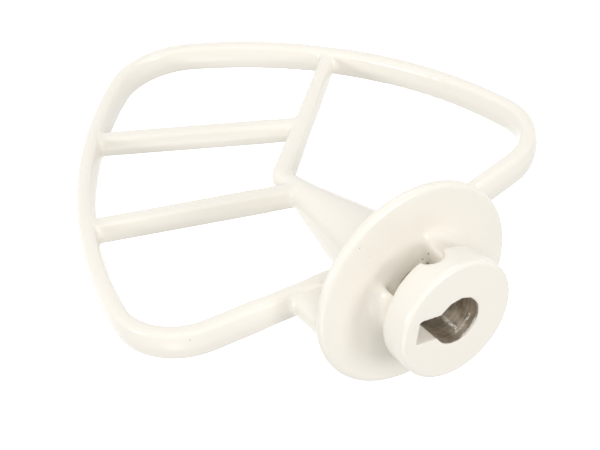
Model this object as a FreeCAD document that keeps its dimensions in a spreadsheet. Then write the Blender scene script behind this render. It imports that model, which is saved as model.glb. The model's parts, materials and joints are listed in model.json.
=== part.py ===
import FreeCAD, Part
import math
import os
import Sketcher

# Stand mixer flat beater: one aluminium casting.
# Frame: Z is the axis of the drive bore and points out of the collar's mouth, the origin is the centre of
# the bore on the collar's front face, and the loop lies in the XZ plane. Side A is towards +X and carries
# the two cross-bars, side B is towards -X and takes the diagonal bar.

doc = FreeCAD.newDocument("flat_beater")

# Driving sizes, millimetres and degrees
SIZES = [
    ("shaft_dia", 12.7, "mixer shaft that enters the bore"),
    ("shaft_clearance", 0.15, "difference between bore and shaft diameters"),
    ("bore_depth", 30.0, "parallel part of the blind bore"),
    ("drill_rise", 3.8, "height of the conical end of the bore"),
    ("pin_dia", 6.0, "cross pin of the mixer shaft"),
    ("pin_clearance", 0.6, "play of the pin in keyway, channel and seat"),
    ("key_reach", 11.9, "end of the keyway, from the axis"),
    ("key_angle", 14.5, "keyway's turn from side A towards the front face"),
    ("pin_turn", 73.0, "turn of the pin from keyway to seat"),
    ("window_turn", 51.0, "part of that turn that is open to the outside"),
    ("collar_dia", 33.0, "drive collar"),
    ("collar_depth", 8.3, "thickness of the collar"),
    ("collar_bevel", 0.6, "bevel on both edges of the collar"),
    ("neck_dia", 26.6, "neck between collar and flange"),
    ("neck_fillet", 4.0, "fillet from the neck into the flange"),
    ("collar_gap", 7.8, "space between collar and flange"),
    ("flange_dia", 57.2, "round flange"),
    ("flange_depth", 3.0, "flange, from its front to its back"),
    ("rim_bevel", 0.9, "bevel on both edges of the flange"),
    ("bell_dia", 38.0, "cone on the flange's back, at its wide end"),
    ("bell_end_dia", 24.0, "that cone at its narrow end, inside the stem"),
    ("bell_depth", 7.0, "that cone, from end to end"),
    ("stem_root_dia", 28.4, "stem where it starts inside the flange"),
    ("stem_waist_dia", 8.5, "stem above the upper cross-bar"),
    ("stem_waist_drop", 64.0, "that waist, below the collar's face"),
    ("stem_end_dia", 5.8, "stem at the bend"),
    ("bend_drop", 75.6, "bend of the stem, below the collar's face"),
    ("bend_reach", 0.9, "lean of the stem towards side A"),
    ("keel_length", 56.4, "keel that joins both arms to the flange, over its round ends"),
    ("keel_width", 6.8, "thickness of the keel and diameter of its ends"),
    ("keel_drop", 31.5, "lower edge of the keel, inside the arms"),
    ("keel_fillet", 5.0, "fillet from the keel into the flange"),
    ("draft_angle", 13.0, "mould draft on both sides of the parting plane"),
    ("edge_round", 1.1, "edge radius of loop and bars"),
    ("loop_width", 5.55, "loop, across its parting ridge"),
    ("loop_depth", 8.4, "loop, front to back"),
    ("tip_drop", 154.9, "lowest point of the loop's centre line"),
    ("tip_radius", 21.5, "bend of the loop at its lowest point"),
    ("arm_root", 6.0, "start of each arm inside the stem, from the axis"),
    ("arm_drop_a", 28.2, "arm of side A, on the axis"),
    ("arm_slope_a", 7.9, "fall of that arm"),
    ("shoulder_reach_a", 45.8, "centre of the shoulder bend, from the axis"),
    ("shoulder_radius_a", 17.6, "shoulder bend of side A"),
    ("side_radius_a", 155.0, "long bend of side A"),
    ("arm_drop_b", 29.2, "arm of side B, on the axis"),
    ("arm_slope_b", 8.8, "fall of that arm"),
    ("shoulder_reach_b", 45.7, "centre of the shoulder bend, from the axis"),
    ("shoulder_radius_b", 19.5, "shoulder bend of side B"),
    ("side_radius_b", 131.0, "long bend of side B"),
    ("bar_width", 5.5, "cross-bars, across the parting ridge"),
    ("bar_depth", 6.7, "cross-bars, front to back"),
    ("upper_bar_drop", 66.1, "start of the upper cross-bar, on the axis"),
    ("upper_bar_slope", 25.0, "fall of the upper cross-bar"),
    ("lower_bar_start", 16.7, "start of the lower cross-bar on the diagonal, from the axis"),
    ("lower_bar_slope", 35.1, "fall of the lower cross-bar"),
    ("diagonal_slope", 43.0, "fall of the diagonal bar"),
    ("diagonal_width", 6.4, "diagonal bar at the bend, across the ridge"),
    ("diagonal_depth", 6.2, "diagonal bar at the bend, front to back"),
    ("diagonal_end_width", 4.6, "diagonal bar at the loop, across the ridge"),
    ("diagonal_end_depth", 6.8, "diagonal bar at the loop, front to back"),
]
sheet = doc.addObject("Spreadsheet::Sheet", "sizes")
size = {}
for row, (alias, value, meaning) in enumerate(SIZES, start=1):
    sheet.set("A%d" % row, alias)
    sheet.set("B%d" % row, str(value))
    sheet.set("C%d" % row, meaning)
    sheet.setAlias("B%d" % row, alias)
    size[alias] = value
doc.recompute()

body = doc.addObject("PartDesign::Body", "flat_beater")
body.Label = "flat_beater"


def formula(text):
    """Turn the bare names of sizes in a formula into references to the sheet's cells."""
    for alias in sorted(size, key=len, reverse=True):
        text = text.replace("<" + alias + ">", "sizes." + alias)
    return text


def plane(role):
    """The body's own origin plane of that role."""
    for feature in body.Origin.OriginFeatures:
        if feature.Role == role:
            return feature
    raise RuntimeError("no plane " + role)


def new_sketch(name, role):
    """An empty sketch on one of the body's origin planes."""
    sketch = body.newObject("Sketcher::SketchObject", name)
    sketch.AttachmentSupport = (plane(role), [""])
    sketch.MapMode = "FlatFace"
    return sketch


def constrain(sketch, kind, *places):
    """A geometric constraint."""
    sketch.addConstraint(Sketcher.Constraint(kind, *places))


def drive(sketch, kind, places, value, name, text):
    """A dimension bound to the sheet."""
    index = sketch.addConstraint(Sketcher.Constraint(kind, *places, value))
    sketch.renameConstraint(index, name)
    sketch.setExpression("Constraints." + name, formula(text))


ORIGIN = (-1, 1)
ACROSS = -1
UPRIGHT = -2


def at_right(sketch, geometry, end, value, name, text):
    """Hold a point at a distance to the right of the sketch's origin."""
    drive(sketch, "DistanceX", ORIGIN + (geometry, end), value, name, text)


def at_left(sketch, geometry, end, value, name, text):
    """Hold a point at a distance to the left of the sketch's origin."""
    drive(sketch, "DistanceX", (geometry, end) + ORIGIN, value, name, text)


def above(sketch, geometry, end, value, name, text):
    """Hold a point at a height above the sketch's origin."""
    drive(sketch, "DistanceY", ORIGIN + (geometry, end), value, name, text)


def below(sketch, geometry, end, value, name, text):
    """Hold a point at a depth below the sketch's origin."""
    drive(sketch, "DistanceY", (geometry, end) + ORIGIN, value, name, text)


def line(sketch, start, end):
    """A straight line in the sketch."""
    first = FreeCAD.Vector(start[0], start[1], 0)
    last = FreeCAD.Vector(end[0], end[1], 0)
    return sketch.addGeometry(Part.LineSegment(first, last), False)


def arc(sketch, centre, radius, start, end):
    """An anticlockwise arc between two angles in degrees."""
    middle = FreeCAD.Vector(centre[0], centre[1], 0)
    circle = Part.Circle(middle, FreeCAD.Vector(0, 0, 1), radius)
    return sketch.addGeometry(Part.ArcOfCircle(circle, math.radians(start), math.radians(end)), False)


def polar(centre, radius, angle):
    """The point of a circle at an angle in degrees."""
    turn = math.radians(angle)
    return (centre[0] + radius * math.cos(turn), centre[1] + radius * math.sin(turn))


def finish_sketch(sketch):
    """Solve a sketch and refuse one that the solver can't satisfy."""
    doc.recompute()
    if sketch.solve() != 0:
        raise RuntimeError("sketch %s does not solve" % sketch.Name)


# Hub: collar, neck, flange and the bell on its back, turned about the bore's axis
collar_r = size["collar_dia"] / 2
collar_e = size["collar_bevel"]
collar_t = size["collar_depth"]
neck_r = size["neck_dia"] / 2
neck_f = size["neck_fillet"]
flange_r = size["flange_dia"] / 2
rim = size["rim_bevel"]
flange_z = collar_t + size["collar_gap"]
back_z = flange_z + size["flange_depth"]
bell_r = size["bell_dia"] / 2
bell_end_r = size["bell_end_dia"] / 2
bell_z = back_z + size["bell_depth"]
FLANGE_FRONT = "<collar_depth> + <collar_gap>"
FLANGE_BACK = FLANGE_FRONT + " + <flange_depth>"

hub = new_sketch("hub_profile", "XZ_Plane")
front = line(hub, (0, 0), (collar_r - collar_e, 0))
front_edge = line(hub, (collar_r - collar_e, 0), (collar_r, -collar_e))
wall = line(hub, (collar_r, -collar_e), (collar_r, -collar_t + collar_e))
rear_edge = line(hub, (collar_r, -collar_t + collar_e), (collar_r - collar_e, -collar_t))
rear = line(hub, (collar_r - collar_e, -collar_t), (neck_r, -collar_t))
neck = line(hub, (neck_r, -collar_t), (neck_r, -flange_z + neck_f))
fillet = arc(hub, (neck_r + neck_f, -flange_z + neck_f), neck_f, 180, 270)
disc_front = line(hub, (neck_r + neck_f, -flange_z), (flange_r - rim, -flange_z))
rim_front = line(hub, (flange_r - rim, -flange_z), (flange_r, -flange_z - rim))
rim_wall = line(hub, (flange_r, -flange_z - rim), (flange_r, -back_z + rim))
rim_back = line(hub, (flange_r, -back_z + rim), (flange_r - rim, -back_z))
disc_back = line(hub, (flange_r - rim, -back_z), (bell_r, -back_z))
bell = line(hub, (bell_r, -back_z), (bell_end_r, -bell_z))
bell_end = line(hub, (bell_end_r, -bell_z), (0, -bell_z))
axis = line(hub, (0, -bell_z), (0, 0))
outline = [front, front_edge, wall, rear_edge, rear, neck]
for before, after in zip(outline, outline[1:]):
    constrain(hub, "Coincident", before, 2, after, 1)
constrain(hub, "Tangent", neck, 2, fillet, 1)
constrain(hub, "Tangent", fillet, 2, disc_front, 1)
outline = [disc_front, rim_front, rim_wall, rim_back, disc_back, bell, bell_end, axis]
for before, after in zip(outline, outline[1:]):
    constrain(hub, "Coincident", before, 2, after, 1)
constrain(hub, "Coincident", front, 1, *ORIGIN)
constrain(hub, "Coincident", axis, 2, *ORIGIN)
for level in (front, rear, disc_front, disc_back, bell_end):
    constrain(hub, "Horizontal", level)
for upright in (wall, neck, rim_wall, axis):
    constrain(hub, "Vertical", upright)
at_right(hub, front, 2, collar_r - collar_e, "front_reach", "<collar_dia> / 2 - <collar_bevel>")
at_right(hub, wall, 1, collar_r, "collar_reach", "<collar_dia> / 2")
below(hub, wall, 1, collar_e, "front_bevel", "<collar_bevel>")
below(hub, wall, 2, collar_t - collar_e, "rear_bevel", "<collar_depth> - <collar_bevel>")
at_right(hub, rear, 1, collar_r - collar_e, "rear_reach", "<collar_dia> / 2 - <collar_bevel>")
below(hub, rear, 2, collar_t, "collar_rear", "<collar_depth>")
at_right(hub, neck, 1, neck_r, "neck_reach", "<neck_dia> / 2")
drive(hub, "Radius", (fillet,), neck_f, "neck_blend", "<neck_fillet>")
below(hub, disc_front, 2, flange_z, "flange_front", FLANGE_FRONT)
at_right(hub, disc_front, 2, flange_r - rim, "disc_reach", "<flange_dia> / 2 - <rim_bevel>")
at_right(hub, rim_wall, 1, flange_r, "flange_reach", "<flange_dia> / 2")
below(hub, rim_wall, 1, flange_z + rim, "rim_front", FLANGE_FRONT + " + <rim_bevel>")
below(hub, rim_wall, 2, back_z - rim, "rim_back", FLANGE_BACK + " - <rim_bevel>")
at_right(hub, disc_back, 1, flange_r - rim, "back_reach", "<flange_dia> / 2 - <rim_bevel>")
below(hub, disc_back, 2, back_z, "flange_back", FLANGE_BACK)
at_right(hub, bell, 1, bell_r, "bell_reach", "<bell_dia> / 2")
at_right(hub, bell, 2, bell_end_r, "bell_end_reach", "<bell_end_dia> / 2")
below(hub, bell, 2, bell_z, "bell_foot", FLANGE_BACK + " + <bell_depth>")
finish_sketch(hub)
hub_turn = body.newObject("PartDesign::Revolution", "hub")
hub_turn.Profile = hub
hub_turn.ReferenceAxis = (hub, ["V_Axis"])
hub_turn.Angle = 360
doc.recompute()

# Stem: a cone that leans a little towards side A, a waist and a round end at the bend
stem_r = size["stem_root_dia"] / 2
waist_r = size["stem_waist_dia"] / 2
end_r = size["stem_end_dia"] / 2
waist_y = size["stem_waist_drop"] - flange_z
end_y = math.hypot(size["bend_drop"] - flange_z, size["bend_reach"])
STEM_DROP = "(<bend_drop> - " + FLANGE_FRONT.replace("+", "-") + ")"
STEM_LENGTH = "sqrt(pow(" + STEM_DROP + "; 2) + pow(<bend_reach>; 2))"

stem = new_sketch("stem_profile", "XZ_Plane")
stem.AttachmentOffset = FreeCAD.Placement(FreeCAD.Vector(0, 0, 0),
                                          FreeCAD.Rotation(FreeCAD.Vector(0, 0, 1), 1))
stem.setExpression("AttachmentOffset.Base.y", formula("-(" + FLANGE_FRONT + ")"))
stem.setExpression("AttachmentOffset.Rotation.Angle", formula("atan(<bend_reach> / " + STEM_DROP + ")"))
root = line(stem, (0, 0), (stem_r, 0))
cone = line(stem, (stem_r, 0), (waist_r, -waist_y))
taper = line(stem, (waist_r, -waist_y), (end_r, -end_y))
stem_end = arc(stem, (0, -end_y), end_r, 270, 360)
core = line(stem, (0, -end_y - end_r), (0, 0))
constrain(stem, "Coincident", root, 1, *ORIGIN)
constrain(stem, "Horizontal", root)
constrain(stem, "Coincident", root, 2, cone, 1)
constrain(stem, "Coincident", cone, 2, taper, 1)
constrain(stem, "Coincident", taper, 2, stem_end, 2)
constrain(stem, "Coincident", stem_end, 1, core, 1)
constrain(stem, "Coincident", core, 2, *ORIGIN)
constrain(stem, "Vertical", core)
constrain(stem, "PointOnObject", stem_end, 3, UPRIGHT)
constrain(stem, "Horizontal", taper, 2, stem_end, 3)
at_right(stem, root, 2, stem_r, "root_reach", "<stem_root_dia> / 2")
at_right(stem, cone, 2, waist_r, "waist_reach", "<stem_waist_dia> / 2")
below(stem, cone, 2, waist_y, "waist", "<stem_waist_drop> - " + FLANGE_FRONT.replace("+", "-"))
at_right(stem, taper, 2, end_r, "end_reach", "<stem_end_dia> / 2")
below(stem, taper, 2, end_y, "end", STEM_LENGTH)
finish_sketch(stem)
stem_turn = body.newObject("PartDesign::Revolution", "stem")
stem_turn.Profile = stem
stem_turn.ReferenceAxis = (stem, ["V_Axis"])
stem_turn.Angle = 360
doc.recompute()


# Sections of the casting: a flat bar with draft on both sides of the parting ridge and rounded edges
def bar_section(name, width, depth, base, turn):
    """A bar's section on a plane that stands across the loop's plane."""
    half_w = size[width] / 2
    half_d = size[depth] / 2
    rnd = size["edge_round"]
    draft = size["draft_angle"]
    slope = math.tan(math.radians(draft))
    centre_x = half_d - rnd
    centre_y = half_w - centre_x * slope - rnd / math.cos(math.radians(draft))
    sketch = new_sketch(name, "YZ_Plane")
    sketch.AttachmentOffset = FreeCAD.Placement(FreeCAD.Vector(0, 0, 0),
                                                FreeCAD.Rotation(FreeCAD.Vector(1, 0, 0), 1))
    sketch.setExpression("AttachmentOffset.Base.y", formula(base[1]))
    sketch.setExpression("AttachmentOffset.Base.z", formula(base[0]))
    sketch.setExpression("AttachmentOffset.Rotation.Angle", formula(turn))
    tops = [polar((centre_x, centre_y), rnd, 90 - draft), polar((-centre_x, centre_y), rnd, 90 + draft)]
    feet = [polar((centre_x, -centre_y), rnd, draft - 90), polar((-centre_x, -centre_y), rnd, 270 - draft)]
    right_top = arc(sketch, (centre_x, centre_y), rnd, 0, 90 - draft)
    left_top = arc(sketch, (-centre_x, centre_y), rnd, 90 + draft, 180)
    left_foot = arc(sketch, (-centre_x, -centre_y), rnd, 180, 270 - draft)
    right_foot = arc(sketch, (centre_x, -centre_y), rnd, draft - 90, 0)
    flank_a = line(sketch, tops[0], (0, half_w))
    flank_b = line(sketch, (0, half_w), tops[1])
    left_face = line(sketch, (-half_d, centre_y), (-half_d, -centre_y))
    flank_c = line(sketch, feet[1], (0, -half_w))
    flank_d = line(sketch, (0, -half_w), feet[0])
    right_face = line(sketch, (half_d, -centre_y), (half_d, centre_y))
    constrain(sketch, "Tangent", right_top, 2, flank_a, 1)
    constrain(sketch, "Coincident", flank_a, 2, flank_b, 1)
    constrain(sketch, "Tangent", flank_b, 2, left_top, 1)
    constrain(sketch, "Tangent", left_top, 2, left_face, 1)
    constrain(sketch, "Tangent", left_face, 2, left_foot, 1)
    constrain(sketch, "Tangent", left_foot, 2, flank_c, 1)
    constrain(sketch, "Coincident", flank_c, 2, flank_d, 1)
    constrain(sketch, "Tangent", flank_d, 2, right_foot, 1)
    constrain(sketch, "Tangent", right_foot, 2, right_face, 1)
    constrain(sketch, "Tangent", right_face, 2, right_top, 1)
    for edge in (left_top, left_foot, right_foot):
        constrain(sketch, "Equal", right_top, edge)
    constrain(sketch, "Symmetric", right_top, 3, left_top, 3, UPRIGHT)
    constrain(sketch, "Symmetric", right_top, 3, right_foot, 3, ACROSS)
    constrain(sketch, "Symmetric", left_top, 3, left_foot, 3, ACROSS)
    constrain(sketch, "PointOnObject", flank_a, 2, UPRIGHT)
    constrain(sketch, "PointOnObject", flank_c, 2, UPRIGHT)
    across = "(<" + depth + "> / 2 - <edge_round>)"
    drive(sketch, "Radius", (right_top,), rnd, "edge", "<edge_round>")
    at_right(sketch, right_top, 3, centre_x, "edge_reach", across)
    above(sketch, right_top, 3, centre_y, "edge_height",
          "<" + width + "> / 2 - " + across + " * tan(<draft_angle> * 1 deg)"
          " - <edge_round> / cos(<draft_angle> * 1 deg)")
    above(sketch, flank_a, 2, half_w, "ridge_top", "<" + width + "> / 2")
    below(sketch, flank_c, 2, half_w, "ridge_foot", "<" + width + "> / 2")
    finish_sketch(sketch)
    return sketch


# Bars of each side of the loop: name, start and its formulas, slope
bend_x = size["bend_reach"]
bend_z = size["bend_drop"]
lower_x = size["lower_bar_start"]
lower_z = bend_z + (lower_x + bend_x) * math.tan(math.radians(size["diagonal_slope"]))
LOWER_DROP = "<bend_drop> + (<lower_bar_start> + <bend_reach>) * tan(<diagonal_slope> * 1 deg)"
BARS = {
    "a": [("upper_bar", (0, size["upper_bar_drop"]), ("0", "<upper_bar_drop>")),
          ("lower_bar", (-lower_x, lower_z), ("-<lower_bar_start>", LOWER_DROP))],
    "b": [("diagonal", (bend_x, bend_z), ("<bend_reach>", "<bend_drop>"))],
}


def bar_line(sketch, loop, middle, sweep, sign, bar):
    """A bar's centre line, from the loop's side to the bar's start, with its length to be read."""
    name, (start_x, drop), (across, down) = bar
    slope = math.radians(size[name + "_slope"])
    way = (sign * math.cos(slope), -math.sin(slope))
    off_x = start_x - middle[0]
    off_z = -drop - middle[1]
    along = off_x * way[0] + off_z * way[1]
    reach = math.sqrt(along ** 2 + sweep ** 2 - off_x ** 2 - off_z ** 2) - along
    meeting = (start_x + reach * way[0], -drop + reach * way[1])
    bar_axis = line(sketch, meeting, (start_x, -drop))
    sketch.toggleConstruction(bar_axis)
    constrain(sketch, "PointOnObject", bar_axis, 1, loop)
    if start_x:
        at_right(sketch, bar_axis, 2, start_x, name + "_across", across)
    else:
        constrain(sketch, "PointOnObject", bar_axis, 2, UPRIGHT)
    below(sketch, bar_axis, 2, drop, name + "_drop", down)
    fall = "<" + name + "_slope> * 1 deg"
    turn = "180 deg - " + fall if sign > 0 else fall
    drive(sketch, "Angle", (bar_axis,), math.atan2(-way[1], -way[0]), name + "_turn", turn)
    length = sketch.addConstraint(Sketcher.Constraint("Distance", bar_axis, reach))
    sketch.setDriving(length, False)
    sketch.renameConstraint(length, name + "_length")


# Loop: centre line of each side from the lowest point up to the arm's root in the stem
def loop_path(name, side, sign):
    """The centre line of one side of the loop, towards +X for sign 1 and towards -X for sign -1."""
    drop = size["arm_drop_" + side]
    fall = math.radians(size["arm_slope_" + side])
    reach = size["shoulder_reach_" + side]
    bend = size["shoulder_radius_" + side]
    sweep = size["side_radius_" + side]
    tip = size["tip_radius"]
    root = size["arm_root"]
    shoulder = (reach, -drop - reach * math.tan(fall) - bend / math.cos(fall))
    foot = (0.0, -size["tip_drop"] + tip)
    gap_x = foot[0] - shoulder[0]
    gap_z = foot[1] - shoulder[1]
    gap = math.hypot(gap_x, gap_z)
    along = ((sweep - bend) ** 2 - (sweep - tip) ** 2 + gap ** 2) / (2 * gap)
    off = math.sqrt((sweep - bend) ** 2 - along ** 2)
    middle = (shoulder[0] + along * gap_x / gap + off * gap_z / gap,
              shoulder[1] + along * gap_z / gap - off * gap_x / gap)
    top_angle = math.degrees(math.atan2(shoulder[1] - middle[1], shoulder[0] - middle[0]))
    low_angle = math.degrees(math.atan2(foot[1] - middle[1], foot[0] - middle[0]))
    arm_angle = 90 - math.degrees(fall)
    arm_start = polar(shoulder, bend, arm_angle)
    arm_end = (root, -drop - root * math.tan(fall))
    sketch = new_sketch(name, "XZ_Plane")
    if sign > 0:
        near, far = 1, 2
        low = arc(sketch, foot, tip, -90, low_angle)
        long = arc(sketch, middle, sweep, low_angle, top_angle)
        high = arc(sketch, shoulder, bend, top_angle, arm_angle)
        place = at_right
    else:
        near, far = 2, 1
        low = arc(sketch, foot, tip, 180 - low_angle, 270)
        long = arc(sketch, (-middle[0], middle[1]), sweep, 180 - top_angle, 180 - low_angle)
        high = arc(sketch, (-shoulder[0], shoulder[1]), bend, 180 - arm_angle, 180 - top_angle)
        place = at_left
    arm = line(sketch, (sign * arm_start[0], arm_start[1]), (sign * arm_end[0], arm_end[1]))
    constrain(sketch, "PointOnObject", low, near, UPRIGHT)
    constrain(sketch, "PointOnObject", low, 3, UPRIGHT)
    constrain(sketch, "Tangent", low, far, long, near)
    constrain(sketch, "Tangent", long, far, high, near)
    constrain(sketch, "Tangent", high, far, arm, 1)
    slope = "tan(<arm_slope_" + side + "> * 1 deg)"
    lean = "cos(<arm_slope_" + side + "> * 1 deg)"
    below(sketch, low, near, size["tip_drop"], "tip", "<tip_drop>")
    drive(sketch, "Radius", (low,), tip, "tip_bend", "<tip_radius>")
    drive(sketch, "Radius", (long,), sweep, "side_bend", "<side_radius_" + side + ">")
    drive(sketch, "Radius", (high,), bend, "shoulder_bend", "<shoulder_radius_" + side + ">")
    place(sketch, high, 3, reach, "shoulder", "<shoulder_reach_" + side + ">")
    below(sketch, high, 3, -shoulder[1], "shoulder_height",
          "<arm_drop_" + side + "> + <shoulder_reach_" + side + "> * " + slope
          + " + <shoulder_radius_" + side + "> / " + lean)
    place(sketch, arm, 2, root, "root", "<arm_root>")
    below(sketch, arm, 2, -arm_end[1], "root_height", "<arm_drop_" + side + "> + <arm_root> * " + slope)
    for bar in BARS[side]:
        bar_line(sketch, long, (sign * middle[0], middle[1]), sweep, sign, bar)
    finish_sketch(sketch)
    return sketch


loop_section = bar_section("loop_section", "loop_width", "loop_depth", ("0", "-<tip_drop>"), "0 deg")
for side, sign in (("a", 1), ("b", -1)):
    path = loop_path("loop_path_" + side, side, sign)
    pipe = body.newObject("PartDesign::AdditivePipe", "loop_side_" + side)
    pipe.Profile = loop_section
    pipe.Spine = (path, ["Edge1", "Edge2", "Edge3", "Edge4"])
    pipe.Mode = "Standard"
    doc.recompute()

# Keel under the flange: a web along both arms, round at its ends, with a fillet into the flange's back
keel_w = size["keel_width"] / 2
keel_f = size["keel_fillet"]
keel_z = size["keel_drop"]
keel = new_sketch("keel_profile", "YZ_Plane")
keel_top = line(keel, (-keel_w - keel_f, -back_z), (keel_w + keel_f, -back_z))
keel_right = arc(keel, (keel_w + keel_f, -back_z - keel_f), keel_f, 90, 180)
side_right = line(keel, (keel_w, -back_z - keel_f), (keel_w, -keel_z))
keel_foot = line(keel, (keel_w, -keel_z), (-keel_w, -keel_z))
side_left = line(keel, (-keel_w, -keel_z), (-keel_w, -back_z - keel_f))
keel_left = arc(keel, (-keel_w - keel_f, -back_z - keel_f), keel_f, 0, 90)
constrain(keel, "Horizontal", keel_top)
constrain(keel, "Tangent", keel_top, 2, keel_right, 1)
constrain(keel, "Tangent", keel_right, 2, side_right, 1)
constrain(keel, "Coincident", side_right, 2, keel_foot, 1)
constrain(keel, "Coincident", keel_foot, 2, side_left, 1)
constrain(keel, "Tangent", side_left, 2, keel_left, 1)
constrain(keel, "Tangent", keel_left, 2, keel_top, 1)
constrain(keel, "Vertical", side_right)
constrain(keel, "Vertical", side_left)
constrain(keel, "Equal", keel_right, keel_left)
constrain(keel, "Symmetric", keel_foot, 1, keel_foot, 2, UPRIGHT)
drive(keel, "Radius", (keel_right,), keel_f, "blend", "<keel_fillet>")
at_right(keel, side_right, 2, keel_w, "half_width", "<keel_width> / 2")
below(keel, keel_foot, 1, keel_z, "foot", "<keel_drop>")
below(keel, keel_top, 1, back_z, "top", FLANGE_BACK)
finish_sketch(keel)
keel_pad = body.newObject("PartDesign::Pad", "keel")
keel_pad.Profile = keel
keel_pad.setExpression("Length", formula("<keel_length> - <keel_width>"))
keel_pad.Midplane = True
doc.recompute()
end_x = (size["keel_length"] - size["keel_width"]) / 2
ends = new_sketch("keel_outline", "XY_Plane")
ends.AttachmentOffset = FreeCAD.Placement(FreeCAD.Vector(0, 0, -keel_z), FreeCAD.Rotation())
ends.setExpression("AttachmentOffset.Base.z", formula("-<keel_drop>"))
end_a = arc(ends, (end_x, 0), keel_w, -90, 90)
flank_back = line(ends, (end_x, keel_w), (-end_x, keel_w))
end_b = arc(ends, (-end_x, 0), keel_w, 90, 270)
flank_front = line(ends, (-end_x, -keel_w), (end_x, -keel_w))
constrain(ends, "Tangent", end_a, 2, flank_back, 1)
constrain(ends, "Tangent", flank_back, 2, end_b, 1)
constrain(ends, "Tangent", end_b, 2, flank_front, 1)
constrain(ends, "Tangent", flank_front, 2, end_a, 1)
constrain(ends, "Symmetric", end_a, 3, end_b, 3, *ORIGIN)
constrain(ends, "PointOnObject", end_a, 3, ACROSS)
drive(ends, "Radius", (end_a,), keel_w, "half_width", "<keel_width> / 2")
at_right(ends, end_a, 3, end_x, "end_reach", "(<keel_length> - <keel_width>) / 2")
finish_sketch(ends)
ends_pad = body.newObject("PartDesign::Pad", "keel_ends")
ends_pad.Profile = ends
ends_pad.setExpression("Length", formula("<keel_drop> - " + FLANGE_BACK.replace("+", "-")))
doc.recompute()

# Cross-bars to side A
upper_section = bar_section("upper_bar_section", "bar_width", "bar_depth",
                            ("0", "-<upper_bar_drop>"), "<upper_bar_slope> * 1 deg")
upper_bar = body.newObject("PartDesign::Pad", "upper_bar")
upper_bar.Profile = upper_section
upper_bar.setExpression("Length", "loop_path_a.Constraints.upper_bar_length")
doc.recompute()
lower_section = bar_section("lower_bar_section", "bar_width", "bar_depth",
                            ("-<lower_bar_start>", "-(" + LOWER_DROP + ")"), "<lower_bar_slope> * 1 deg")
lower_bar = body.newObject("PartDesign::Pad", "lower_bar")
lower_bar.Profile = lower_section
lower_bar.setExpression("Length", "loop_path_a.Constraints.lower_bar_length")
doc.recompute()

# Diagonal bar to side B, narrowing towards the loop
DIAGONAL_TURN = "180 deg - <diagonal_slope> * 1 deg"
DIAGONAL_LENGTH = "loop_path_b.Constraints.diagonal_length / 1 mm"
diagonal_start = bar_section("diagonal_start", "diagonal_width", "diagonal_depth",
                             ("<bend_reach>", "-<bend_drop>"), DIAGONAL_TURN)
diagonal_end = bar_section("diagonal_end", "diagonal_end_width", "diagonal_end_depth",
                           ("<bend_reach> - " + DIAGONAL_LENGTH + " * cos(<diagonal_slope> * 1 deg)",
                            "-<bend_drop> - " + DIAGONAL_LENGTH + " * sin(<diagonal_slope> * 1 deg)"),
                           DIAGONAL_TURN)
diagonal = body.newObject("PartDesign::AdditiveLoft", "diagonal_bar")
diagonal.Profile = diagonal_start
diagonal.Sections = [diagonal_end]
doc.recompute()

# Blind bore with its conical end
bore_r = (size["shaft_dia"] + size["shaft_clearance"]) / 2
depth = size["bore_depth"]
rise = size["drill_rise"]
bore = new_sketch("bore_profile", "XZ_Plane")
bore_top = line(bore, (0, 0), (bore_r, 0))
bore_wall = line(bore, (bore_r, 0), (bore_r, -depth))
bore_end = line(bore, (bore_r, -depth), (0, -depth - rise))
bore_axis = line(bore, (0, -depth - rise), (0, 0))
constrain(bore, "Coincident", bore_top, 1, *ORIGIN)
constrain(bore, "Horizontal", bore_top)
constrain(bore, "Coincident", bore_top, 2, bore_wall, 1)
constrain(bore, "Vertical", bore_wall)
constrain(bore, "Coincident", bore_wall, 2, bore_end, 1)
constrain(bore, "Coincident", bore_end, 2, bore_axis, 1)
constrain(bore, "Coincident", bore_axis, 2, *ORIGIN)
constrain(bore, "PointOnObject", bore_end, 2, UPRIGHT)
at_right(bore, bore_wall, 1, bore_r, "wall", "(<shaft_dia> + <shaft_clearance>) / 2")
below(bore, bore_wall, 2, depth, "depth", "<bore_depth>")
below(bore, bore_end, 2, depth + rise, "point", "<bore_depth> + <drill_rise>")
finish_sketch(bore)
bore_cut = body.newObject("PartDesign::Groove", "drive_bore")
bore_cut.Profile = bore
bore_cut.ReferenceAxis = (bore, ["V_Axis"])
bore_cut.Angle = 360
doc.recompute()

# Keyway: the cross pin's way in through the collar
PIN_SPACE = "(<pin_dia> + <pin_clearance>)"
pin_space = size["pin_dia"] + size["pin_clearance"]
reach = size["key_reach"]
key = new_sketch("keyway_outline", "XY_Plane")
key.AttachmentOffset = FreeCAD.Placement(FreeCAD.Vector(0, 0, 0),
                                         FreeCAD.Rotation(FreeCAD.Vector(0, 0, 1), 1))
key.setExpression("AttachmentOffset.Rotation.Angle", formula("360 deg - <key_angle> * 1 deg"))
key_foot = line(key, (0, -pin_space / 2), (reach, -pin_space / 2))
key_end = line(key, (reach, -pin_space / 2), (reach, pin_space / 2))
key_top = line(key, (reach, pin_space / 2), (0, pin_space / 2))
key_back = line(key, (0, pin_space / 2), (0, -pin_space / 2))
constrain(key, "Coincident", key_foot, 2, key_end, 1)
constrain(key, "Coincident", key_end, 2, key_top, 1)
constrain(key, "Coincident", key_top, 2, key_back, 1)
constrain(key, "Coincident", key_back, 2, key_foot, 1)
constrain(key, "Horizontal", key_foot)
constrain(key, "Horizontal", key_top)
constrain(key, "Vertical", key_end)
constrain(key, "PointOnObject", key_back, 1, UPRIGHT)
constrain(key, "PointOnObject", key_back, 2, UPRIGHT)
at_right(key, key_end, 1, reach, "reach", "<key_reach>")
above(key, key_top, 1, pin_space / 2, "half_top", PIN_SPACE + " / 2")
below(key, key_foot, 1, pin_space / 2, "half_foot", PIN_SPACE + " / 2")
finish_sketch(key)
key_cut = body.newObject("PartDesign::Pocket", "keyway")
key_cut.Profile = key
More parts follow.
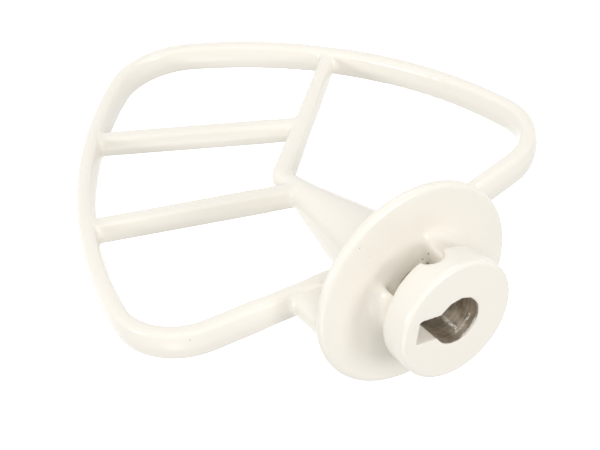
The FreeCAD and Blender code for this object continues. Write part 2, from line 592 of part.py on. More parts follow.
key_cut.setExpression("Length", formula("<collar_depth> + " + PIN_SPACE))
doc.recompute()


# Channel of the pin behind the collar, and the window where the channel is open to the outside. The window's
# floor falls from the pin's level on the axis to the flange's face at the end of the neck's fillet and goes
# on to the far side of the pin's seat.
pin_floor = collar_t + pin_space
PIN_FLOOR = "<collar_depth> + " + PIN_SPACE


def ring_cut(name, reach, far_floor, formulas):
    """Cut a ring sector just behind the collar, clockwise; its floor may fall towards the outside."""
    outward, fall, start, turn = formulas
    sketch = new_sketch(name + "_profile", "XZ_Plane")
    sketch.AttachmentOffset = FreeCAD.Placement(FreeCAD.Vector(0, 0, 0),
                                                FreeCAD.Rotation(FreeCAD.Vector(0, 1, 0), 1))
    sketch.setExpression("AttachmentOffset.Rotation.Angle", formula(start))
    top = line(sketch, (0, -collar_t), (reach, -collar_t))
    end = line(sketch, (reach, -collar_t), (reach, -far_floor))
    foot = line(sketch, (reach, -far_floor), (0, -pin_floor))
    back = line(sketch, (0, -pin_floor), (0, -collar_t))
    constrain(sketch, "Coincident", top, 2, end, 1)
    constrain(sketch, "Coincident", end, 2, foot, 1)
    constrain(sketch, "Coincident", foot, 2, back, 1)
    constrain(sketch, "Coincident", back, 2, top, 1)
    constrain(sketch, "Horizontal", top)
    constrain(sketch, "Vertical", end)
    constrain(sketch, "PointOnObject", back, 1, UPRIGHT)
    constrain(sketch, "PointOnObject", back, 2, UPRIGHT)
    at_right(sketch, end, 1, reach, "reach", outward)
    below(sketch, top, 1, collar_t, "top", "<collar_depth>")
    below(sketch, foot, 1, far_floor, "far_floor", fall)
    below(sketch, foot, 2, pin_floor, "near_floor", PIN_FLOOR)
    finish_sketch(sketch)
    cut = body.newObject("PartDesign::Groove", name)
    cut.Profile = sketch
    cut.ReferenceAxis = (sketch, ["V_Axis"])
    cut.setExpression("Angle", formula(turn))
    cut.Reversed = True
    doc.recompute()


ring_cut("pin_channel", size["key_reach"], pin_floor,
         ("<key_reach>", PIN_FLOOR, "360 deg - <key_angle> * 1 deg", "<pin_turn> * 1 deg"))
ring_cut("pin_window", neck_r + neck_f, flange_z,
         ("<neck_dia> / 2 + <neck_fillet>", FLANGE_FRONT,
          "360 deg - (<key_angle> + <pin_turn> - <window_turn>) * 1 deg",
          "<window_turn> * 1 deg + asin(" + PIN_SPACE + " / <neck_dia>)"))

# Seat of the pin at the end of its turn: a round-topped opening through collar and neck
seat = new_sketch("pin_seat_outline", "YZ_Plane")
seat.AttachmentOffset = FreeCAD.Placement(FreeCAD.Vector(0, 0, 0),
                                          FreeCAD.Rotation(FreeCAD.Vector(0, 1, 0), 1))
seat.setExpression("AttachmentOffset.Rotation.Angle",
                   formula("360 deg - (<key_angle> + <pin_turn>) * 1 deg"))
seat_top = arc(seat, (0, -collar_t), pin_space / 2, 0, 180)
seat_left = line(seat, (-pin_space / 2, -collar_t), (-pin_space / 2, -collar_t - pin_space))
seat_foot = line(seat, (-pin_space / 2, -collar_t - pin_space), (pin_space / 2, -collar_t - pin_space))
seat_right = line(seat, (pin_space / 2, -collar_t - pin_space), (pin_space / 2, -collar_t))
constrain(seat, "PointOnObject", seat_top, 3, UPRIGHT)
constrain(seat, "Tangent", seat_top, 2, seat_left, 1)
constrain(seat, "Coincident", seat_left, 2, seat_foot, 1)
constrain(seat, "Coincident", seat_foot, 2, seat_right, 1)
constrain(seat, "Tangent", seat_right, 2, seat_top, 1)
constrain(seat, "Vertical", seat_left)
constrain(seat, "Horizontal", seat_foot)
below(seat, seat_top, 3, collar_t, "middle", "<collar_depth>")
drive(seat, "Radius", (seat_top,), pin_space / 2, "radius", PIN_SPACE + " / 2")
below(seat, seat_foot, 1, collar_t + pin_space, "foot", "<collar_depth> + " + PIN_SPACE)
finish_sketch(seat)
seat_cut = body.newObject("PartDesign::Pocket", "pin_seat")
seat_cut.Profile = seat
seat_cut.Reversed = True
seat_cut.setExpression("Length", formula("<collar_dia> / 2 + <neck_fillet>"))
doc.recompute()

# Every feature must be sound before the part is written
for feature in doc.Objects:
    if "Invalid" in feature.State or "Error" in feature.State:
        raise RuntimeError("feature %s is %s" % (feature.Name, feature.State))
solid = body.Shape
if solid.isNull() or not solid.isValid() or len(solid.Solids) != 1:
    raise RuntimeError("the casting is not one sound solid")
os.makedirs("parts", exist_ok=True)
solid.exportStep("parts/%s.step" % body.Label)
box = solid.BoundBox
print("volume %.1f mm3, box %.2f..%.2f, %.2f..%.2f, %.2f..%.2f"
      % (solid.Volume, box.XMin, box.XMax, box.YMin, box.YMax, box.ZMin, box.ZMax))
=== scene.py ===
"""Flat beater of a stand mixer: the looks of one coated casting, dressed over its CAD frame."""

import json
import math

import bmesh
import bpy
from bpy.props import FloatProperty, FloatVectorProperty, IntProperty, PointerProperty
from mathutils import Matrix, Vector


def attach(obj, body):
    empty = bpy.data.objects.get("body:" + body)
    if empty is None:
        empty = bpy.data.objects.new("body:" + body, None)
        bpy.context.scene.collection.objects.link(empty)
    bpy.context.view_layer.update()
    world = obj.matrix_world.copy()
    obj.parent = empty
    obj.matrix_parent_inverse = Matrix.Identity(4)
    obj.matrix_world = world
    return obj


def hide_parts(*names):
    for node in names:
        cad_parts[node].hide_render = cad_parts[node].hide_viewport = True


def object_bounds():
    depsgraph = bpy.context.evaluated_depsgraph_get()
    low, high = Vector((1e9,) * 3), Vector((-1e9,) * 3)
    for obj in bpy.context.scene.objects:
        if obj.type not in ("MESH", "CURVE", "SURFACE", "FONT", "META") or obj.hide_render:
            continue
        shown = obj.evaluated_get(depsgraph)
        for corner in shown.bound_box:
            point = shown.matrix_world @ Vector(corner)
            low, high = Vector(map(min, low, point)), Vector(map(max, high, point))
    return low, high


bl_info = {
    "name": "Flat beater",
    "version": (1, 0, 0),
    "blender": (4, 5, 0),
    "location": "3D View > Sidebar > Beater",
    "description": "Dresses the cast flat beater of a stand mixer and sets it on a plain white stage",
    "category": "Object",
}

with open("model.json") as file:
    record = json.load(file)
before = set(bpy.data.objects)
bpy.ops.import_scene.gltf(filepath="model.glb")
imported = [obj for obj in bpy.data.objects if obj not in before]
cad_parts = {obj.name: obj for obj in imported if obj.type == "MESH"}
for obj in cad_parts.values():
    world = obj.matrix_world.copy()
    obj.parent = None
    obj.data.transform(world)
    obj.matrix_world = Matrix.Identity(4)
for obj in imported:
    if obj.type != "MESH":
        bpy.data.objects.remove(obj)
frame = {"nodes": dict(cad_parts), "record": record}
CAD_LOW, CAD_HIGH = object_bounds()
CAD_MIDDLE = (CAD_LOW + CAD_HIGH) / 2
CASTING_NODE = "flat_beater"
MM = 0.001
BORE = frame["record"]["mounts"][0]["dims"]
BORE_RADIUS = BORE["r_mm"] * MM
BLACK = (0, 0, 0)
WHITE = (1, 1, 1)

# Bare metal reaches this far outside the bore's radius, and this far below the bore's stated length
WALL_MARGIN = 0.35 * MM
END_MARGIN = 5 * MM
BORE_DEPTH = BORE["length_mm"] * MM + END_MARGIN

# Grain of the unevenness in each part of the finish
EDGE_GRAIN = 0.9 * MM
SPECK_GRAIN = 0.3 * MM
CHIP_GRAIN = 0.4 * MM
SCUFF_GRAIN = 0.55 * MM
SMEAR_GRAIN = 2.5 * MM
CLOUD_GRAIN = 22 * MM
SATIN_GRAIN = 6 * MM
NOISE_MIDDLE = 0.5

# Specks of coating on the rubbed side of the bore: turn from the scuff, half width and fade of that
# side, then how much it favours specks and the noise value above which one stays
RUBBED_TURN = math.radians(20)
RUBBED_HALF = math.radians(20)
RUBBED_FADE = math.radians(15)
SPECK_SHARE = 0.3
SPECK_THRESHOLD = 0.68

# A spot ends where distance and unevenness together come to this share of its listed radius
SPOT_LIMIT = 1.3

# Scuff along the bore's wall: half width and fade around the axis, then middle, half length and fade
# in depth
LINE_HALF = math.radians(2.2)
LINE_FADE = math.radians(3)
LINE_DEPTH = 5.7 * MM
LINE_REACH = 2.7 * MM
LINE_END_FADE = 0.6 * MM

# Scuff around the bore's wall: half width and fade in depth, then turn from the other scuff, half length
# and fade around the axis
AROUND_HALF = 0.2 * MM
AROUND_FADE = 0.3 * MM
AROUND_TURN = math.radians(18)
AROUND_REACH = math.radians(22)
AROUND_END_FADE = math.radians(12)

# Noise values between which the scuffs fade in
SCUFF_START = 0.44
SCUFF_FULL = 0.56

# Shade of the machined wall: shares of rings and smears, and the values from its dark to its pale colour
RING_SHARE = 0.6
SMEAR_SHARE = 0.4
SHADE_DARK = 0.36
SHADE_PALE = 0.62

# Roughness: of the machined wall and the floor, and how far it varies on the wall and on the coating
WORN_ROUGHNESS = 0.4
FLOOR_ROUGHNESS = 0.9
WORN_SWING = 0.2
SATIN_SWING = 0.08

# Relief of the sprayed coating
PEEL_STRENGTH = 0.03
PEEL_HEIGHT = 0.05 * MM

# Sockets of a Mix node by place, because their names repeat
MIX_FACTOR = 0
MIX_NUMBERS = (2, 3)
MIX_COLOURS = (6, 7)
MIX_NUMBER_OUT = 0
MIX_COLOUR_OUT = 2

# Share of the way to its neighbours' middle that a smoothing pass moves a corner
SMOOTH_SHARE = 0.5

# Camera: width of its frame in millimetres, and the nearest distance that it sees in metres
FRAME_WIDTH = 36
NEAR_CLIP = 0.01

# Room that keel and stem take to each side of the axis: the keel down to a depth, the stem in a cone
KEEL_REACH = 31 * MM
KEEL_DROP = 36 * MM
STEM_REACH = 22.5 * MM
STEM_TAPER = 0.19

# Dark spots, each with its place and radius in millimetres. The first three lie in the corner of the
# pin's seat under the collar's rear edge, where they are chipped coating and painted shade of that
# corner together;
# the others are specks of dirt on flange and arm
CHIP_AND_SHADE_SPOTS = (
    ((-2.84, -10.72, -13.92), 0.38),
    ((-2.99, -7.18, -14.77), 0.55),
    ((-1.6, -8.6, -14.9), 0.4),
    ((15.09, -21.06, -16.1), 0.15),
    ((12.62, -16.88, -16.1), 0.1),
    ((54.10, -2.36, -34.33), 0.17),
)

# Places that are rounded more: joints of stem, bars and keel, the nib at the pin's seat and the lump
# beside the window, each with its place and reach in millimetres and its smoothing passes
JOINTS = (
    ((0.9, 0, -74.0), 11, 12),
    ((-16.7, 0, -92.0), 9, 18),
    ((-47.0, 0, -121.0), 8, 18),
    ((27.5, 0, -30.0), 9, 24),
    ((-27.5, 0, -30.0), 9, 24),
    ((-3.4, -11.6, -12.6), 4.4, 60),
    ((10.6, -7.9, -12.2), 5.5, 80),
)

# Lamps: direction in the picture as right, up and towards the camera, watts, side in metres, and whether
# the coating mirrors them
LAMPS = (
    ("front_light", (0.13, 0.0, 0.99), 3.1, 0.5, False),
    ("right_light", (0.68, -0.15, 0.70), 2.3, 0.3, True),
    ("left_light", (-0.87, -0.18, 0.44), 2.6, 0.2, True),
    ("top_light", (0.19, 0.90, 0.36), 1.6, 0.3, True),
    ("low_light", (-0.20, -0.93, 0.30), 0.5, 0.3, True),
)


# Settings

class BeaterCasting(bpy.types.PropertyGroup):
    """Softness of the casting's edges and inner corners."""

    weld: FloatProperty(
        name="Weld", description="Corners of the CAD mesh closer than this are one", default=0.002 * MM,
        precision=6, unit="LENGTH")
    grid: FloatProperty(
        name="Grid", description="Cell of the even mesh that the casting is given", default=0.36 * MM,
        precision=5, unit="LENGTH")
    rounding: IntProperty(
        name="Rounding", description="Smoothing passes on edges and on the fillets between bars",
        default=7)
    ridge_rounding: IntProperty(
        name="Ridge rounding", description="Smoothing passes on the parting ridge of loop and bars",
        default=60)
    ridge_half: FloatProperty(
        name="Ridge half", description="Half width of the strip along the ridge that is smoothed",
        default=2.4 * MM, precision=5, unit="LENGTH")
    mouth_rounding: IntProperty(
        name="Mouth rounding", description="Smoothing passes around the bore and keyway", default=2)
    mouth_reach: FloatProperty(
        name="Mouth reach", description="Radius around the bore that keeps its crisp edges",
        default=13 * MM, precision=4, unit="LENGTH")
    mouth_depth: FloatProperty(
        name="Mouth depth", description="Depth below the collar's face that keeps its crisp edges",
        default=7.5 * MM, precision=4, unit="LENGTH")
    share: FloatProperty(
        name="Share", description="Part of the even mesh's faces that stays", default=0.4,
        subtype="FACTOR")


class BeaterFinish(bpy.types.PropertyGroup):
    """Colours and texture of the coating and of the bare bore."""

    coating: FloatVectorProperty(
        name="Coating", description="Cream coating", default=(0.880, 0.838, 0.752), size=3,
        subtype="COLOR")
    coating_pale: FloatVectorProperty(
        name="Pale coating", description="Cream coating where it lies a little thinner",
        default=(0.900, 0.862, 0.785), size=3, subtype="COLOR")
    gloss: FloatProperty(
        name="Coating roughness", description="Roughness of the satin coating", default=0.22,
        subtype="FACTOR")
    peel: FloatProperty(
        name="Peel", description="Grain of the sprayed coating", default=0.9 * MM, precision=5,
        unit="LENGTH")
    metal: FloatVectorProperty(
        name="Bare metal", description="Machined aluminium of the bore", default=(0.74, 0.675, 0.585),
        size=3, subtype="COLOR")
    metal_dark: FloatVectorProperty(
        name="Dark metal", description="Machined aluminium in the grooves and smears of the bore",
        default=(0.37, 0.32, 0.26), size=3, subtype="COLOR")
    # Dark colour of the spots: chipped coating, dirt, and painted shade in the corner of the pin's seat
    chip_and_shade: FloatVectorProperty(
        name="Chip", description="Dull metal in chips of the coating", default=(0.13, 0.12, 0.10),
        size=3, subtype="COLOR")
    metal_bright: FloatVectorProperty(
        name="Scuffed metal", description="Bright scuffs on the machined wall",
        default=(0.92, 0.90, 0.86), size=3, subtype="COLOR")
    edge_depth: FloatProperty(
        name="Coating edge", description="Where the coating ends inside the bore's mouth",
        default=0.3 * MM, precision=5, unit="LENGTH")
    ragged: FloatProperty(
        name="Ragged edge", description="Unevenness of that edge", default=0.35 * MM, precision=5,
        unit="LENGTH")
    speckled: FloatProperty(
        name="Speckled edge", description="Depth of the specks of coating left where the shaft rubs",
        default=1.5 * MM, precision=5, unit="LENGTH")
    scuff_azimuth: FloatProperty(
        name="Scuff azimuth", description="Scuff along the bore's wall, around the bore's axis",
        default=math.radians(108), unit="ROTATION")
    scuff_depth: FloatProperty(
        name="Scuff depth", description="Scuff around the bore's wall, below the collar's face",
        default=2.7 * MM, precision=5, unit="LENGTH")
    ring: FloatProperty(
        name="Ring", description="Spacing of the machining rings in the bore", default=0.45 * MM,
        precision=5, unit="LENGTH")


class BeaterStage(bpy.types.PropertyGroup):
    """Floor, light and camera."""

    floor_drop: FloatProperty(
        name="Floor drop", description="Floor below the beater's lowest point", default=0.45,
        unit="LENGTH")
    floor_span: FloatProperty(
        name="Floor span", description="Width of the floor", default=9.0, unit="LENGTH")
    floor_colour: FloatVectorProperty(
        name="Floor colour", description="Plain pale floor", default=(0.94, 0.94, 0.94), size=3,
        subtype="COLOR")
    floor_lift: FloatProperty(
        name="Floor lift", description="Light that the floor adds towards the camera", default=0.6)
    sky: FloatProperty(
        name="Sky", description="Strength of the even light from all around", default=0.512)
    lamps: FloatProperty(
        name="Lamps", description="Share of the power that each lamp is listed with", default=1.0,
        subtype="FACTOR")
    lamp_distance: FloatProperty(
        name="Lamp distance", description="Lamps from the middle of the beater", default=1.0,
        unit="LENGTH")
    aim: FloatVectorProperty(
        name="Aim", description="Point in the middle of the picture", default=(0.0097, -0.0021, -0.0531),
        size=3, precision=4, subtype="XYZ_LENGTH")
    distance: FloatProperty(
        name="Distance", description="Camera to aim", default=0.33, unit="LENGTH")
    azimuth: FloatProperty(
        name="Azimuth", description="Camera's turn around the bore's axis", default=math.radians(-59.41),
        unit="ROTATION")
    elevation: FloatProperty(
        name="Elevation", description="Camera's height over the horizon", default=math.radians(43.12),
        unit="ROTATION")
    roll: FloatProperty(
        name="Roll", description="Camera's turn about its own axis", default=math.radians(130.89),
        unit="ROTATION")
    lens: FloatProperty(
        name="Lens", description="Focal length on a 36 mm wide frame", default=75.35, unit="CAMERA")


# Node helpers

def add_node(tree, kind, **values):
    """A new shader node with its properties set."""
    node = tree.nodes.new(kind)
    for key, value in values.items():
        setattr(node, key, value)
    return node


def fill(node, **values):
    """Set the named inputs of a node; underscores stand for spaces."""
    for key, value in values.items():
        node.inputs[key.replace("_", " ")].default_value = value


def feed(tree, value, entry):
    """Link a socket into an input of a node, or set the input to a plain value."""
    if isinstance(value, bpy.types.NodeSocket):
        tree.links.new(value, entry)
    else:
        entry.default_value = value


def calc(tree, operation, first, second=None, third=None):
    """A Math node on sockets or plain numbers; returns its output."""
    node = add_node(tree, "ShaderNodeMath", operation=operation)
    for place, value in enumerate((first, second, third)):
        if value is not None:
            feed(tree, value, node.inputs[place])
    return node.outputs[0]


def blend_colour(tree, factor, first, second):
    """A colour mix on sockets or plain colours; returns its output."""
    node = add_node(tree, "ShaderNodeMix", data_type="RGBA", blend_type="MIX")
    feed(tree, factor, node.inputs[MIX_FACTOR])
    for place, value in zip(MIX_COLOURS, (first, second)):
        linked = isinstance(value, bpy.types.NodeSocket)
        feed(tree, value if linked else (*value, 1), node.inputs[place])
    return node.outputs[MIX_COLOUR_OUT]


def ramp_between(tree, value, low, high):
    """Smooth step of a socket from 0 at low to 1 at high; returns its output."""
    node = add_node(tree, "ShaderNodeMapRange", interpolation_type="SMOOTHSTEP", clamp=True)
    tree.links.new(value, node.inputs["Value"])
    fill(node, From_Min=low, From_Max=high, To_Min=0, To_Max=1)
    return node.outputs["Result"]


def band(tree, value, middle, half, soft):
    """1 within a half width of the middle of a socket's range, fading to 0; returns its output."""
    away = calc(tree, "ABSOLUTE", calc(tree, "SUBTRACT", value, middle))
    return ramp_between(tree, away, half + soft, half)


def noise(tree, vector, grain, detail=2.0, rough=0.5):
    """Noise of a real grain size on a coordinate socket; returns its value output."""
    node = add_node(tree, "ShaderNodeTexNoise")
    tree.links.new(vector, node.inputs["Vector"])
    fill(node, Scale=1 / grain, Detail=detail, Roughness=rough)
    return node.outputs["Fac"]


def seen_rays(tree):
    """1 on rays from the camera, a reflection or glass, 0 on all others; returns its output."""
    ray = add_node(tree, "ShaderNodeLightPath")
    seen = calc(tree, "MAXIMUM", ray.outputs["Is Camera Ray"], ray.outputs["Is Glossy Ray"])
    return calc(tree, "MAXIMUM", seen, ray.outputs["Is Transmission Ray"])


# Materials

class CastingPlaces:
    """Sockets that tell where a point of the casting lies: place, height, radius and azimuth."""

    def __init__(self, tree):
        self.place = add_node(tree, "ShaderNodeTexCoord").outputs["Object"]
        parts = add_node(tree, "ShaderNodeSeparateXYZ")
        tree.links.new(self.place, parts.inputs[0])
        self.height = parts.outputs["Z"]
        across = calc(tree, "MULTIPLY", parts.outputs["X"], parts.outputs["X"])
        square = calc(tree, "MULTIPLY_ADD", parts.outputs["Y"], parts.outputs["Y"], across)
        self.radius = calc(tree, "SQRT", square)
        self.azimuth = calc(tree, "ARCTAN2", parts.outputs["Y"], parts.outputs["X"])


def bare_mask(tree, at, finish):
    """Where the coating is missing: the machined bore, with its edge worn where the shaft rubs."""
    uneven = calc(tree, "SUBTRACT", noise(tree, at.place, EDGE_GRAIN, detail=3), NOISE_MIDDLE)
    edge = calc(tree, "MULTIPLY_ADD", uneven, finish.ragged, -finish.edge_depth)
    under_mouth = calc(tree, "LESS_THAN", at.height, edge)
    wall = calc(tree, "LESS_THAN", at.radius, BORE_RADIUS + WALL_MARGIN)
    in_hub = calc(tree, "GREATER_THAN", at.height, -BORE_DEPTH)
    bore = calc(tree, "MULTIPLY", calc(tree, "MULTIPLY", wall, under_mouth), in_hub)
    speck = noise(tree, at.place, SPECK_GRAIN, detail=3, rough=0.6)
    rubbed = band(tree, at.azimuth, finish.scuff_azimuth + RUBBED_TURN, RUBBED_HALF, RUBBED_FADE)
    shallow = ramp_between(tree, at.height, -finish.speckled, -finish.edge_depth)
    left = calc(tree, "MULTIPLY", rubbed, shallow)
    cover = calc(tree, "MULTIPLY_ADD", left, SPECK_SHARE, speck)
    kept = calc(tree, "GREATER_THAN", cover, SPECK_THRESHOLD)
    return calc(tree, "MULTIPLY", bore, calc(tree, "SUBTRACT", 1, kept))


def spot(tree, at, centre, reach, rag):
    """A small ragged spot around a point given in millimetres; returns its mask."""
    away = add_node(tree, "ShaderNodeVectorMath", operation="DISTANCE")
    tree.links.new(at.place, away.inputs[0])
    away.inputs[1].default_value = Vector(centre) * MM
    far = calc(tree, "MULTIPLY_ADD", rag, reach * MM, away.outputs["Value"])
    return calc(tree, "LESS_THAN", far, SPOT_LIMIT * reach * MM)


def chip_and_shade_mask(tree, at):
    """Dark spots: chipped coating and painted shade at the pin's seat, and dirt specks on flange and
    arm.
    """
    rag = noise(tree, at.place, CHIP_GRAIN)
    spots = [spot(tree, at, centre, reach, rag) for centre, reach in CHIP_AND_SHADE_SPOTS]
    whole = spots[0]
    for chip_and_shade in spots[1:]:
        whole = calc(tree, "MAXIMUM", whole, chip_and_shade)
    return whole


def scuff_mask(tree, at, finish):
    """Bright scuffs that shaft and pin left on the bore's wall: one line along it and one around it."""
    scratches = noise(tree, at.place, SCUFF_GRAIN, detail=4, rough=0.7)
    grain = ramp_between(tree, scratches, SCUFF_START, SCUFF_FULL)
    line_turn = band(tree, at.azimuth, finish.scuff_azimuth, LINE_HALF, LINE_FADE)
    line_run = band(tree, at.height, -LINE_DEPTH, LINE_REACH, LINE_END_FADE)
    around_run = band(tree, at.height, -finish.scuff_depth, AROUND_HALF, AROUND_FADE)
    around_middle = finish.scuff_azimuth + AROUND_TURN
    around_turn = band(tree, at.azimuth, around_middle, AROUND_REACH, AROUND_END_FADE)
    along = calc(tree, "MULTIPLY", line_turn, line_run)
    around = calc(tree, "MULTIPLY", around_turn, around_run)
    return calc(tree, "MULTIPLY", calc(tree, "MAXIMUM", along, around), grain)


def coated_casting(finish):
    """Satin cream coating all over, with the machined bore left bare."""
    material = bpy.data.materials.new("coated_casting")
    material.use_nodes = True
    tree = material.node_tree
    shader = tree.nodes["Principled BSDF"]
    at = CastingPlaces(tree)
    bare = bare_mask(tree, at, finish)

    # Machining rings on the bare wall
    level = add_node(tree, "ShaderNodeCombineXYZ")
    tree.links.new(at.height, level.inputs["Z"])
    rings = noise(tree, level.outputs["Vector"], finish.ring, detail=4, rough=0.7)
    smear = noise(tree, at.place, SMEAR_GRAIN, detail=3)
    ring_shade = calc(tree, "MULTIPLY", rings, RING_SHARE)
    shade = calc(tree, "MULTIPLY_ADD", smear, SMEAR_SHARE, ring_shade)
    paleness = ramp_between(tree, shade, SHADE_DARK, SHADE_PALE)
    turned = blend_colour(tree, paleness, finish.metal_dark, finish.metal)
    scuff = scuff_mask(tree, at, finish)
    metal = blend_colour(tree, scuff, turned, finish.metal_bright)

    # Coating with dark spots of chipped coating, dirt and painted shade, and the bare bore let into it
    cloud = noise(tree, at.place, CLOUD_GRAIN)
    cream = blend_colour(tree, cloud, finish.coating, finish.coating_pale)
    marked = blend_colour(tree, chip_and_shade_mask(tree, at), cream, finish.chip_and_shade)
    tree.links.new(blend_colour(tree, bare, marked, metal), shader.inputs["Base Color"])
    unscuffed = calc(tree, "SUBTRACT", 1, scuff)
    tree.links.new(calc(tree, "MULTIPLY", bare, unscuffed), shader.inputs["Metallic"])

    # Roughness of coating and machined wall, and the coating's relief
    patches = noise(tree, at.place, SATIN_GRAIN, detail=3)
    satin = calc(tree, "MULTIPLY_ADD", patches, SATIN_SWING, finish.gloss - SATIN_SWING / 2)
    worn = calc(tree, "MULTIPLY_ADD", rings, WORN_SWING, WORN_ROUGHNESS)
    rough = add_node(tree, "ShaderNodeMix", data_type="FLOAT")
    tree.links.new(bare, rough.inputs[MIX_FACTOR])
    for place, value in zip(MIX_NUMBERS, (satin, worn)):
        tree.links.new(value, rough.inputs[place])
    tree.links.new(rough.outputs[MIX_NUMBER_OUT], shader.inputs["Roughness"])
    bump = add_node(tree, "ShaderNodeBump")
    fill(bump, Strength=PEEL_STRENGTH, Distance=PEEL_HEIGHT)
    tree.links.new(noise(tree, at.place, finish.peel), bump.inputs["Height"])
    tree.links.new(bump.outputs["Normal"], shader.inputs["Normal"])
    return material


def pale_floor(stage):
    """Matt pale floor that reads as white towards the camera and keeps a soft shadow."""
    material = bpy.data.materials.new("pale_floor")
    material.use_nodes = True
    tree = material.node_tree
    shader = tree.nodes["Principled BSDF"]
    fill(shader, Base_Color=(*stage.floor_colour, 1), Roughness=FLOOR_ROUGHNESS)
    fill(shader, Emission_Strength=stage.floor_lift)
    glow = blend_colour(tree, seen_rays(tree), BLACK, WHITE)
    tree.links.new(glow, shader.inputs["Emission Color"])
    return material


# Pieces

def even_mesh(casting):
    """The CAD casting as an even closed mesh, fine enough to round its edges."""
    merged = bmesh.new()
    merged.from_mesh(frame["nodes"][CASTING_NODE].data)
    bmesh.ops.remove_doubles(merged, verts=merged.verts, dist=casting.weld)
    shell = bpy.data.meshes.new("casting_shell")
    merged.to_mesh(shell)
    merged.free()
    draft = bpy.data.objects.new("casting_draft", shell)
    bpy.context.scene.collection.objects.link(draft)
    cells = draft.modifiers.new("even_cells", "REMESH")
    cells.mode = "VOXEL"
    cells.voxel_size = casting.grid
    graph = bpy.context.evaluated_depsgraph_get()
    mesh = bpy.data.meshes.new_from_object(draft.evaluated_get(graph))
    bpy.data.objects.remove(draft)
    bpy.data.meshes.remove(shell)
    return mesh


def smooth(shape, corners, passes):
    """Even out some corners of a mesh."""
    for _ in range(passes):
        bmesh.ops.smooth_vert(
            shape, verts=corners, factor=SMOOTH_SHARE, use_axis_x=True, use_axis_y=True, use_axis_z=True)


def on_ridge(place, casting):
    """Whether a point lies along the parting ridge of loop or bars, clear of keel and stem."""
    aside = abs(place.x)
    in_keel = aside < KEEL_REACH and place.z > -KEEL_DROP
    in_stem = aside < STEM_REACH + STEM_TAPER * place.z
    return abs(place.y) < casting.ridge_half and not in_keel and not in_stem


def soften(mesh, casting):
    """Round edges and inner corners, more at joints and ridge, and keep the bore's mouth crisp."""
    shape = bmesh.new()
    shape.from_mesh(mesh)
    mouth = []
    rest = []
    for corner in shape.verts:
        near = math.hypot(corner.co.x, corner.co.y) < casting.mouth_reach
        shallow = corner.co.z > -casting.mouth_depth
        group = mouth if near and shallow else rest
        group.append(corner)
    for place, reach, passes in JOINTS:
        middle = Vector(place) * MM
        joint = [corner for corner in rest if (corner.co - middle).length < reach * MM]
        smooth(shape, joint, passes)
    ridge = [corner for corner in rest if on_ridge(corner.co, casting)]
    smooth(shape, ridge, casting.ridge_rounding)
    smooth(shape, rest, casting.rounding)
    smooth(shape, mouth, casting.mouth_rounding)
    for face in shape.faces:
        face.smooth = True
    shape.to_mesh(mesh)
    shape.free()


class BEATER_OT_casting(bpy.types.Operator):
    """Dress the casting: soft cast edges, satin coating and a bare bore"""

    bl_idname = "beater.casting"
    bl_label = "Casting"

    def execute(self, context):
        casting = context.scene.beater_casting
        mesh = even_mesh(casting)
        soften(mesh, casting)
        mesh.name = "beater_casting"
        mesh.materials.clear()
        mesh.materials.append(coated_casting(context.scene.beater_finish))
        piece = bpy.data.objects.new("beater_casting", mesh)
        context.scene.collection.objects.link(piece)
        thin = piece.modifiers.new("fewer_faces", "DECIMATE")
        thin.ratio = casting.share
        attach(piece, "root")
        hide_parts(CASTING_NODE)
        return {"FINISHED"}


# Stage

def camera_turn(stage):
    """Camera's rotation: looks at the aim from its azimuth and elevation, then rolls."""
    level = Matrix.Rotation(stage.azimuth + math.pi / 2, 3, "Z")
    tilt = Matrix.Rotation(math.pi / 2 - stage.elevation, 3, "X")
    return level @ tilt @ Matrix.Rotation(stage.roll, 3, "Z")


def add_floor(context, stage):
    """A wide level floor under the beater."""
    shape = bmesh.new()
    bmesh.ops.create_grid(shape, x_segments=1, y_segments=1, size=stage.floor_span / 2)
    bmesh.ops.translate(shape, verts=shape.verts, vec=(0, 0, CAD_LOW.z - stage.floor_drop))
    mesh = bpy.data.meshes.new("floor")
    shape.to_mesh(mesh)
    shape.free()
    mesh.materials.append(pale_floor(stage))
    floor = bpy.data.objects.new("floor", mesh)
    context.scene.collection.objects.link(floor)


def add_sky(context, stage):
    """Even light from all around, white where the camera or a reflection sees it."""
    world = bpy.data.worlds.new("white_room")
    world.use_nodes = True
    tree = world.node_tree
    strength = calc(tree, "MULTIPLY_ADD", seen_rays(tree), 1 - stage.sky, stage.sky)
    background = tree.nodes["Background"]
    fill(background, Color=(*WHITE, 1))
    tree.links.new(strength, background.inputs["Strength"])
    context.scene.world = world


def add_lamp(context, name, power, size, mirrored):
    """A square lamp that the camera doesn't see."""
    light = bpy.data.lights.new(name, "AREA")
    light.energy = power
    light.size = size
    lamp = bpy.data.objects.new(name, light)
    lamp.visible_camera = False
    lamp.visible_glossy = mirrored
    context.scene.collection.objects.link(lamp)
    return lamp


def aim_lamp(lamp, way, distance):
    """Hang a lamp in one direction from the beater's middle, facing it."""
    lamp.location = CAD_MIDDLE + way.normalized() * distance
    lamp.rotation_euler = way.to_track_quat("Z", "Y").to_euler()


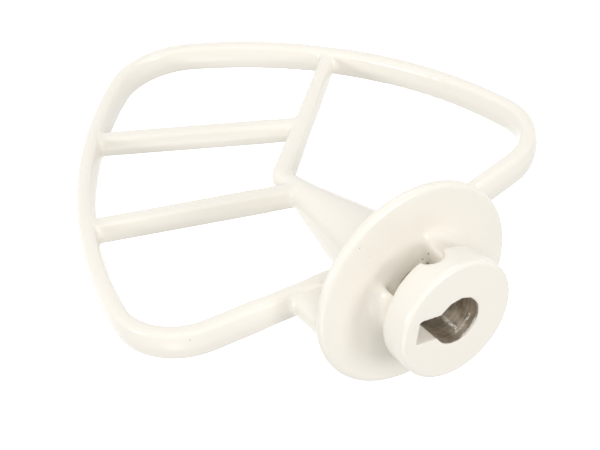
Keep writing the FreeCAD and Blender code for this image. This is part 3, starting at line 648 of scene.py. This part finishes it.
class BEATER_OT_stage(bpy.types.Operator):
    """Set up the plain white stage: floor, even light, lamps and the camera"""

    bl_idname = "beater.stage"
    bl_label = "Stage"

    def execute(self, context):
        stage = context.scene.beater_stage
        turn = camera_turn(stage)
        add_floor(context, stage)
        add_sky(context, stage)
        for name, way, power, size, mirrored in LAMPS:
            lamp = add_lamp(context, name, power * stage.lamps, size, mirrored)
            aim_lamp(lamp, turn @ Vector(way), stage.lamp_distance)
        camera = bpy.data.cameras.new("camera")
        camera.sensor_width = FRAME_WIDTH
        camera.sensor_fit = "HORIZONTAL"
        camera.lens = stage.lens
        camera.clip_start = NEAR_CLIP
        holder = bpy.data.objects.new("camera", camera)
        place = Vector(stage.aim) + turn @ Vector((0, 0, stage.distance))
        holder.matrix_world = Matrix.LocRotScale(place, turn, None)
        context.scene.collection.objects.link(holder)
        context.scene.camera = holder
        context.scene.view_settings.view_transform = "Standard"
        return {"FINISHED"}


class BEATER_PT_panel(bpy.types.Panel):
    """Lists the beater's settings and its build steps"""

    bl_idname = "BEATER_PT_panel"
    bl_label = "Flat beater"
    bl_space_type = "VIEW_3D"
    bl_region_type = "UI"
    bl_category = "Beater"

    def draw(self, context):
        for group, operator in ((context.scene.beater_casting, "beater.casting"),
                                (context.scene.beater_finish, "beater.casting"),
                                (context.scene.beater_stage, "beater.stage")):
            box = self.layout.box()
            for name in group.__annotations__:
                box.prop(group, name)
            box.operator(operator)


CLASSES = (BeaterCasting, BeaterFinish, BeaterStage, BEATER_OT_casting, BEATER_OT_stage, BEATER_PT_panel)


def register():
    """Make the settings, build steps and panel known."""
    for item in CLASSES:
        bpy.utils.register_class(item)
    bpy.types.Scene.beater_casting = PointerProperty(type=BeaterCasting)
    bpy.types.Scene.beater_finish = PointerProperty(type=BeaterFinish)
    bpy.types.Scene.beater_stage = PointerProperty(type=BeaterStage)


def unregister():
    """Take the settings, build steps and panel away again."""
    del bpy.types.Scene.beater_stage
    del bpy.types.Scene.beater_finish
    del bpy.types.Scene.beater_casting
    for item in reversed(CLASSES):
        bpy.utils.unregister_class(item)


def main():
    """Build the dressed beater and its stage."""
    register()
    bpy.ops.beater.casting()
    bpy.ops.beater.stage()


if __name__ == "__main__":
    main()
